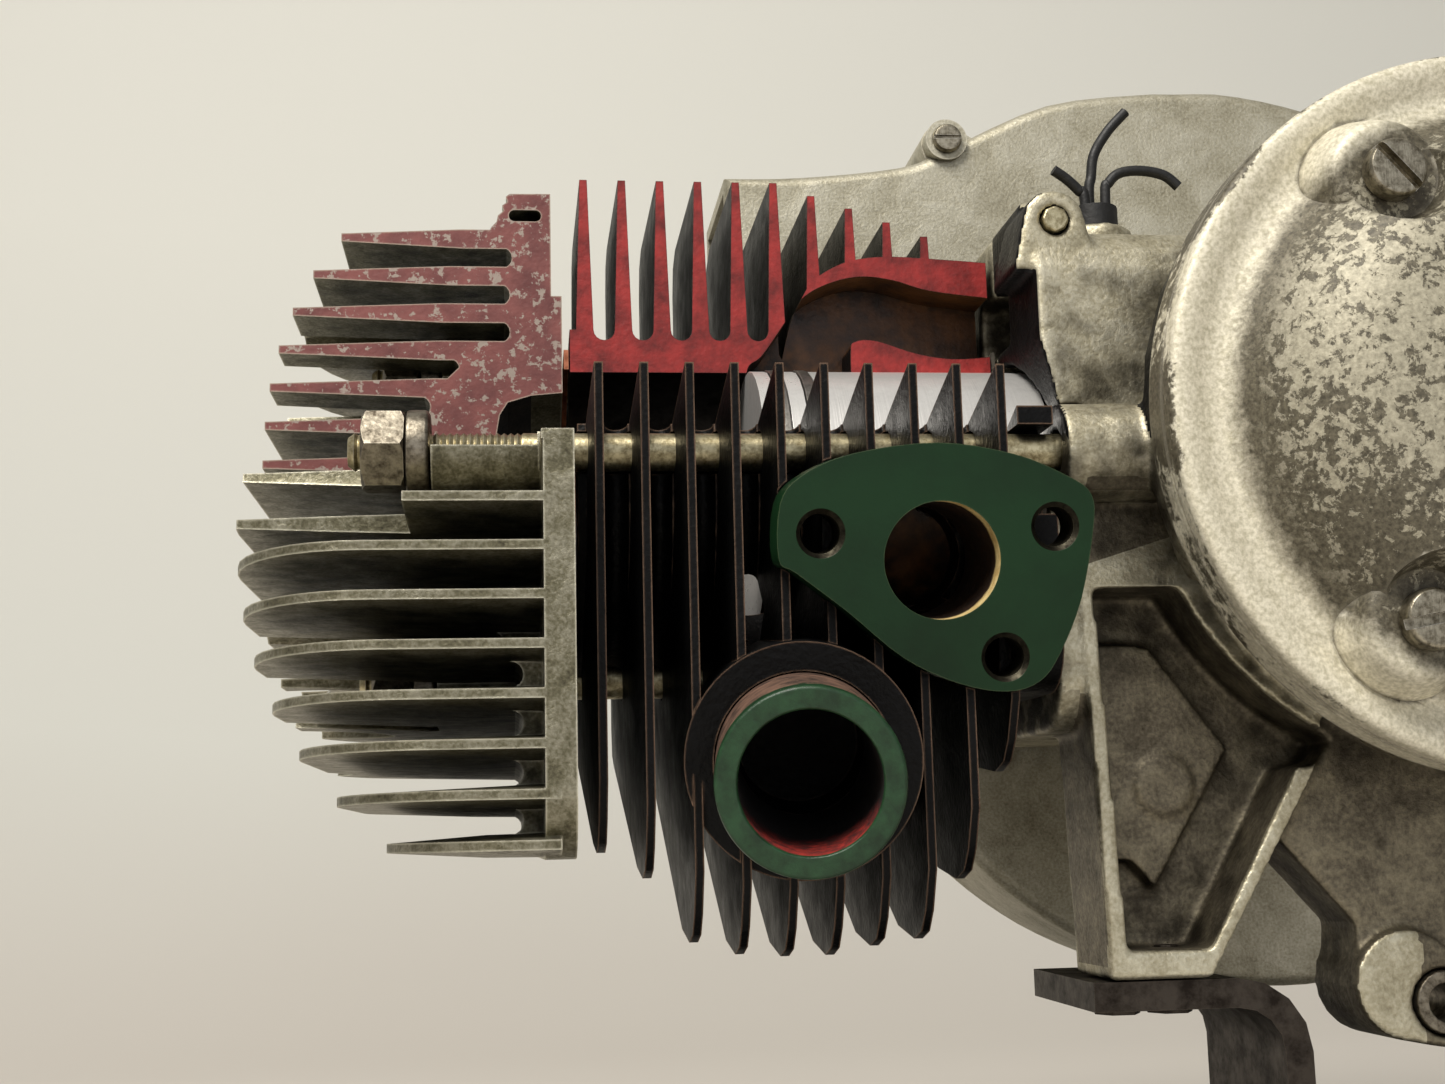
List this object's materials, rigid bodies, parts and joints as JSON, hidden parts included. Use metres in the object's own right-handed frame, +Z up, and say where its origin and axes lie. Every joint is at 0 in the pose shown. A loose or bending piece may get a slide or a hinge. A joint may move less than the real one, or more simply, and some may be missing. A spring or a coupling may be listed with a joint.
{
  "type": "cutaway two-stroke engine",
  "caption": "Fan-cooled two-stroke engine with a lying finned cylinder, its upper front quarter cut away and painted to show the piston, on a bent strap stand.",
  "frame": {"origin": "centre of the stand base plate's underside, on the ground", "axes": "+Z up, +X from the cylinder head towards the crankshaft, +Y from the side cover towards the cooling fan"},
  "size_m": [0.355, 0.1928, 0.291],
  "materials": {
    "painted_iron": "black paint on cast iron, worn to rust at the fin edges, red on the cut faces",
    "green_paint": "dark green enamel",
    "steel_tube": "rusty brown tube with a green end face",
    "cast_alloy": "matte cast alloy, mottled grey",
    "bright_steel": "machined steel",
    "gasket_sheet": "flat copper sheet",
    "yellow_zinc": "yellowish plating, speckled",
    "machined_alloy": "turned light alloy",
    "silver_paint": "pale silver paint, worn in patches",
    "dark_steel": "dark brown-black steel",
    "base_paint": "black painted plate",
    "black_rubber": "black insulation",
    "gasket_paper": "pressed gasket board"
  },
  "bodies": {
    "engine": {"cylinder": "painted_iron", "inlet_flange": "green_paint", "exhaust_stub": "steel_tube", "cylinder_head": "cast_alloy", "head_gasket": "gasket_sheet", "base_gasket": "gasket_paper", "spark_plug": "bright_steel", "stud_1": "yellow_zinc", "head_washer_1": "yellow_zinc", "head_nut_1": "yellow_zinc", "stud_2": "yellow_zinc", "head_washer_2": "yellow_zinc", "head_nut_2": "yellow_zinc", "stud_3": "yellow_zinc", "head_washer_3": "yellow_zinc", "head_nut_3": "yellow_zinc", "stud_4": "yellow_zinc", "head_washer_4": "yellow_zinc", "head_nut_4": "yellow_zinc", "bearing_front": "bright_steel", "bearing_back": "bright_steel", "crankcase_front": "cast_alloy", "crankcase_back": "cast_alloy", "case_pin": "yellow_zinc", "mount_bush": "yellow_zinc", "side_cover": "silver_paint", "fan_housing": "cast_alloy", "fan_cover": "cast_alloy", "wire_grommet": "black_rubber", "stand_strap": "dark_steel", "base_plate": "base_paint", "cover_screw_1": "yellow_zinc", "fan_screw_1": "yellow_zinc", "wire_1": "black_rubber", "cover_screw_2": "yellow_zinc", "fan_screw_2": "yellow_zinc", "wire_2": "black_rubber", "cover_screw_3": "yellow_zinc", "fan_screw_3": "yellow_zinc", "wire_3": "black_rubber", "foot_bolt_1": "yellow_zinc", "strap_screw_1": "yellow_zinc", "foot_bolt_2": "yellow_zinc", "strap_screw_2": "yellow_zinc"},
    "crankshaft": {"crank_half_front": "bright_steel", "crank_half_back": "bright_steel", "crank_pin": "bright_steel", "clutch_drum": "bright_steel", "clutch_nut": "bright_steel", "flywheel_fan": "cast_alloy", "flywheel_nut": "bright_steel"},
    "piston_body": {"piston": "machined_alloy", "piston_ring_1": "bright_steel", "piston_ring_2": "bright_steel", "gudgeon_pin": "bright_steel", "pin_clip_1": "bright_steel", "pin_clip_2": "bright_steel"},
    "rod_body": {"connecting_rod": "bright_steel"}
  },
  "joints": [
    {"name": "crank_turn", "type": "hinge", "parent": "engine", "child": "crankshaft", "pos_m": [0.059, 0, 0.1718], "axis": [0, 1, 0], "range_deg": [-22, 22]},
    {"name": "piston_stroke", "type": "slide", "parent": "engine", "child": "piston_body", "axis": [1, 0, 0], "range_m": [-0.0105, 0.0105]},
    {"name": "rod_swing", "type": "hinge", "parent": "piston_body", "child": "rod_body", "pos_m": [-0.04335, 0, 0.1718], "axis": [0, 1, 0], "range_deg": [-0.85, 0.85]}
  ],
  "couplings": [
    {"joint": "piston_stroke", "follows": "crank_turn", "m_per_rad": 0.0264},
    {"joint": "rod_swing", "follows": "crank_turn", "ratio": 0.036}
  ]
}
